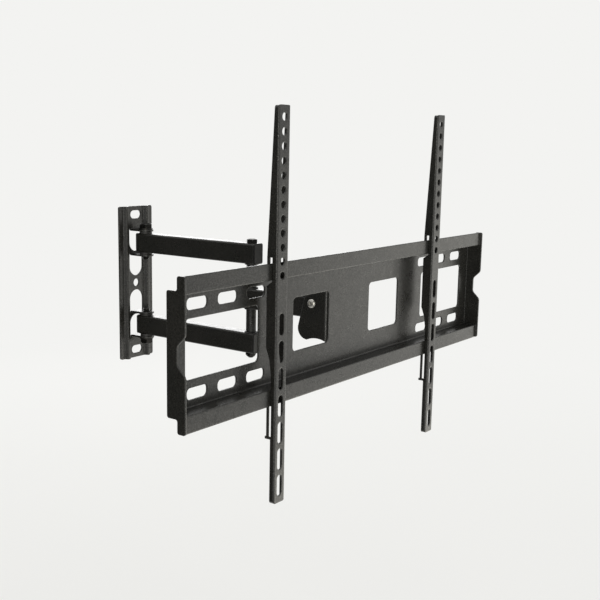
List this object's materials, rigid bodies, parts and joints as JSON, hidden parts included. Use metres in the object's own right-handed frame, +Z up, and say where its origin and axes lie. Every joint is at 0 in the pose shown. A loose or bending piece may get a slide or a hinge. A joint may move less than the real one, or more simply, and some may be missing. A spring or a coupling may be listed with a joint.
{
  "type": "full motion tv wall mount",
  "caption": "Articulated wall bracket for a flat television: a wall plate, folding arms and a head that swivels and tilts, carrying a wide pressed plate with slotted hook-on rails.",
  "frame": {"origin": "middle of the wall plate's back face, on the wall", "axes": "+Y into the wall, -Y towards the viewer of the television, +X right as that viewer sees it, +Z up; the arms point straight out"},
  "size_m": [0.64, 0.396, 0.429],
  "materials": {
    "powder_coat": "satin black powder coat with a fine grain",
    "black_steel": "black zinc plate",
    "zinc_steel": "bright zinc plate",
    "nylon": "matte black nylon",
    "cap_plastic": "matte dark grey moulding"
  },
  "bodies": {
    "wall_unit": {"wall_plate": "powder_coat", "shoulder_bolts": "black_steel", "shoulder_washers": "black_steel"},
    "arm_pair": {"upper_arm": "powder_coat", "lower_arm": "powder_coat", "upper_arm_caps": "cap_plastic", "lower_arm_caps": "cap_plastic", "shoulder_bushes": "nylon", "elbow_bolt": "black_steel", "elbow_nut": "black_steel", "upper_elbow_sleeve": "powder_coat", "lower_elbow_sleeve": "powder_coat", "elbow_washers": "nylon"},
    "forearm_link": {"forearm": "powder_coat", "forearm_caps": "cap_plastic"},
    "swivel_head": {"swivel_bracket": "powder_coat", "swivel_bolt": "black_steel", "swivel_nut": "black_steel", "swivel_washers": "nylon", "tilt_bolts": "zinc_steel", "tilt_nuts": "zinc_steel", "tilt_washers": "nylon"},
    "plate_unit": {"tilt_bracket": "powder_coat", "tv_plate": "powder_coat"},
    "left_rail_unit": {"left_rail": "powder_coat"},
    "right_rail_unit": {"right_rail": "powder_coat"}
  },
  "joints": [
    {"name": "shoulder", "type": "hinge", "parent": "wall_unit", "child": "arm_pair", "pos_m": [0, -0.0225, 0], "axis": [0, 0, 1], "range_deg": [-90, 90]},
    {"name": "elbow", "type": "hinge", "parent": "arm_pair", "child": "forearm_link", "pos_m": [0, -0.2175, 0], "axis": [0, 0, -1], "range_deg": [-120, 120]},
    {"name": "head_swivel", "type": "hinge", "parent": "forearm_link", "child": "swivel_head", "pos_m": [0, -0.314, 0], "axis": [0, 0, 1], "range_deg": [-85, 85]},
    {"name": "tilt", "type": "hinge", "parent": "swivel_head", "child": "plate_unit", "pos_m": [0, -0.3467, 0.013], "axis": [1, 0, 0], "range_deg": [-5, 15]},
    {"name": "left_rail_slide", "type": "slide", "parent": "plate_unit", "child": "left_rail_unit", "axis": [1, 0, 0], "range_m": [-0.128, 0.122]},
    {"name": "right_rail_slide", "type": "slide", "parent": "plate_unit", "child": "right_rail_unit", "axis": [1, 0, 0], "range_m": [-0.122, 0.128]}
  ]
}
